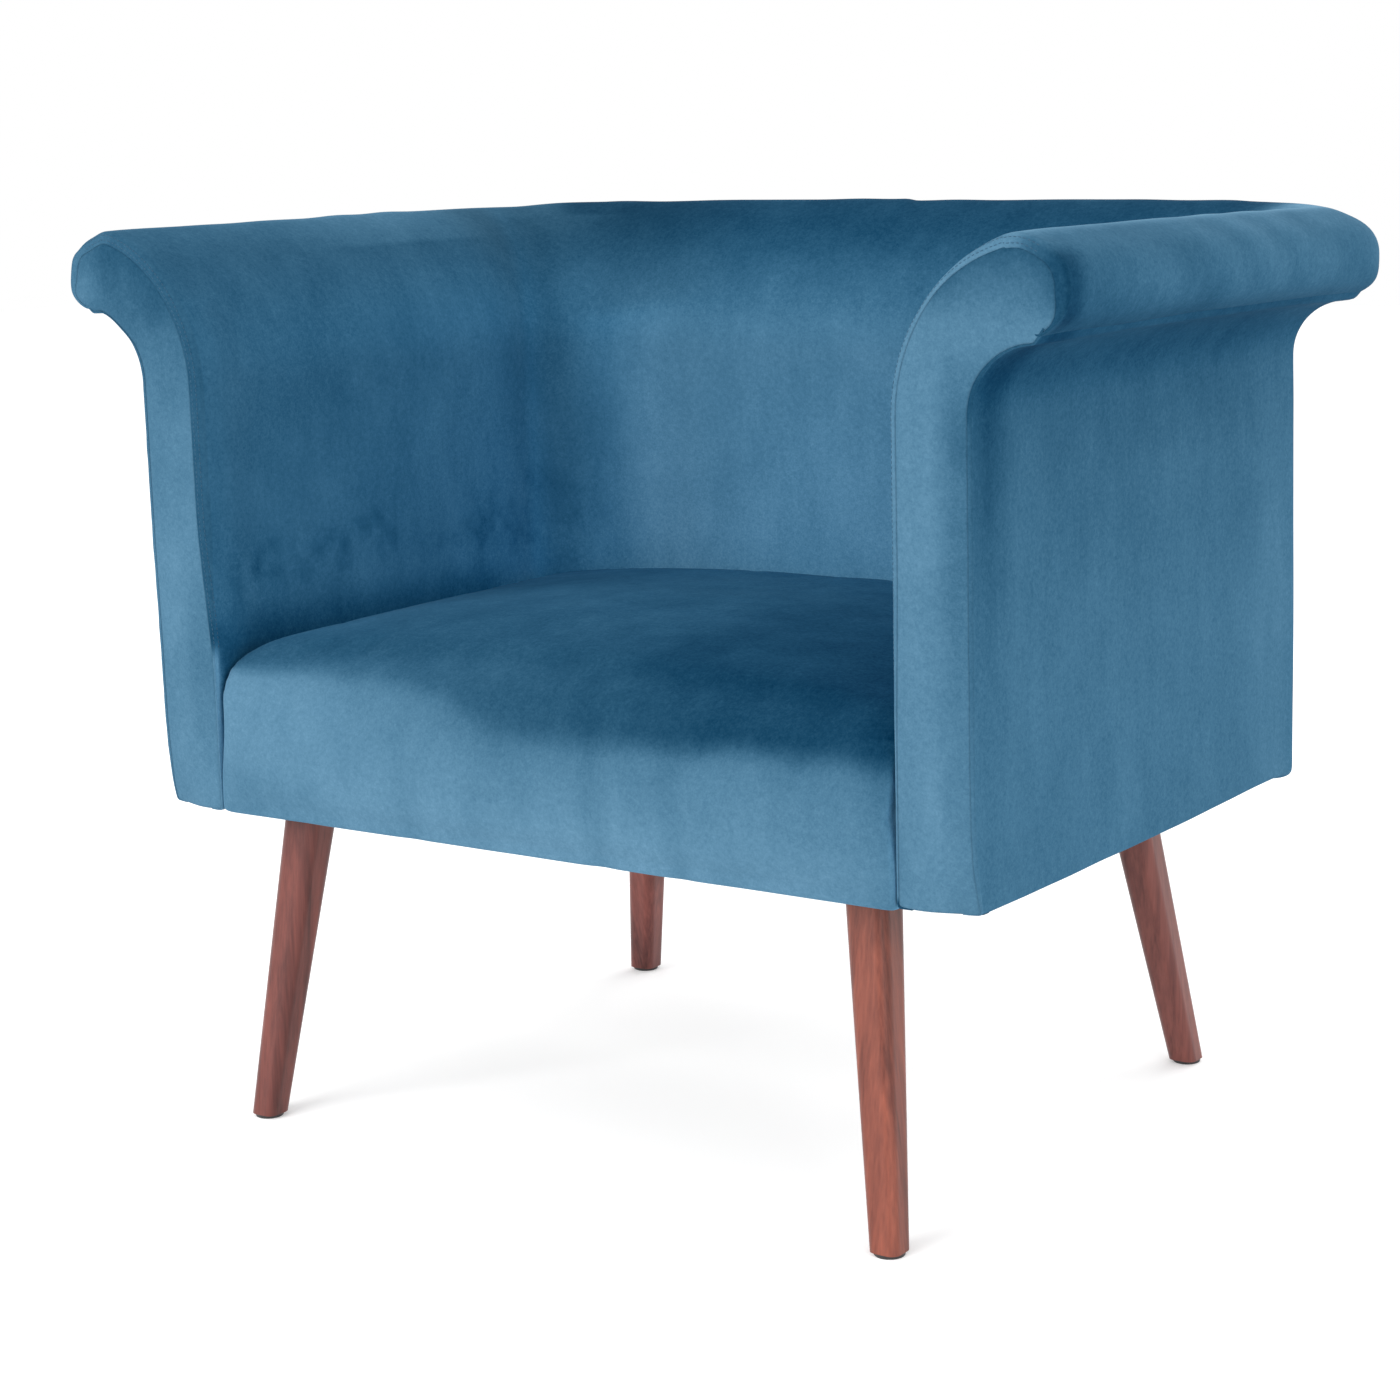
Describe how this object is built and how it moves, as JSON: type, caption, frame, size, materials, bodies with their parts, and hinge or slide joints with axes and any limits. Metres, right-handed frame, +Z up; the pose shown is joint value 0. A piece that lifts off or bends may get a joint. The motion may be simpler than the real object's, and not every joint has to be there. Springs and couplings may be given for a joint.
{
  "type": "upholstered armchair",
  "caption": "Low square armchair with scrolled arms and back of one height rolled outward, a tight crowned seat, velvet cover and splayed tapered wooden legs.",
  "frame": {"origin": "on the floor, under the centre of the chair's outer box", "axes": "+X towards the sitter's left, +Y from the front of the seat to the back, +Z up"},
  "size_m": [0.9048, 0.5924, 0.7224],
  "materials": {
    "velvet": "short-pile velvet, dusty blue, brushed pile",
    "leg_wood": "walnut-stained hardwood, semi-gloss lacquer",
    "frame_wood": "bare sawn softwood",
    "plywood": "bare plywood",
    "fibreboard": "thin hard fibreboard",
    "foam": "open-cell polyurethane foam",
    "batting": "polyester wadding",
    "felt": "needled insulator felt",
    "dust_cloth": "black spun-bonded cambric",
    "glide_plastic": "dark moulded nylon",
    "spring_steel": "oiled spring wire",
    "zinc_steel": "zinc-plated steel"
  },
  "bodies": {
    "root": {"back_foam": "foam", "back_inside_cover": "velvet", "back_outside_batting": "batting", "back_outside_board": "fibreboard", "back_outside_cover": "velvet", "back_roll_dowel": "frame_wood", "back_roll_former": "fibreboard", "back_scroll_boards": "plywood", "back_seat_rail": "frame_wood", "back_top_rail": "frame_wood", "corner_block_screws": "zinc_steel", "dust_cover": "dust_cloth", "dust_cover_staples": "zinc_steel", "foot_glides": "glide_plastic", "front_left_leg": "leg_wood", "front_right_leg": "leg_wood", "front_seat_rail": "frame_wood", "left_arm_foam": "foam", "left_arm_front_board": "plywood", "left_arm_inside_cover": "velvet", "left_arm_outside_batting": "batting", "left_arm_outside_board": "fibreboard", "left_arm_outside_cover": "velvet", "left_arm_rear_board": "plywood", "left_arm_roll_dowel": "frame_wood", "left_arm_roll_former": "fibreboard", "left_arm_top_rail": "frame_wood", "left_facing_cover": "velvet", "left_facing_foam": "foam", "left_rear_post": "frame_wood", "left_seat_rail": "frame_wood", "leg_corner_blocks": "frame_wood", "leg_hanger_bolts": "zinc_steel", "leg_t_nuts": "zinc_steel", "rear_left_leg": "leg_wood", "rear_right_leg": "leg_wood", "right_arm_foam": "foam", "right_arm_front_board": "plywood", "right_arm_inside_cover": "velvet", "right_arm_outside_batting": "batting", "right_arm_outside_board": "fibreboard", "right_arm_outside_cover": "velvet", "right_arm_rear_board": "plywood", "right_arm_roll_dowel": "frame_wood", "right_arm_roll_former": "fibreboard", "right_arm_top_rail": "frame_wood", "right_facing_cover": "velvet", "right_facing_foam": "foam", "right_rear_post": "frame_wood", "right_seat_rail": "frame_wood", "seat_centre_rail": "frame_wood", "seat_cover": "velvet", "seat_foam": "foam", "seat_insulator_pad": "felt", "sinuous_springs": "spring_steel", "spring_clips": "zinc_steel", "spring_tie_wires": "spring_steel"}
  },
  "joints": []
}
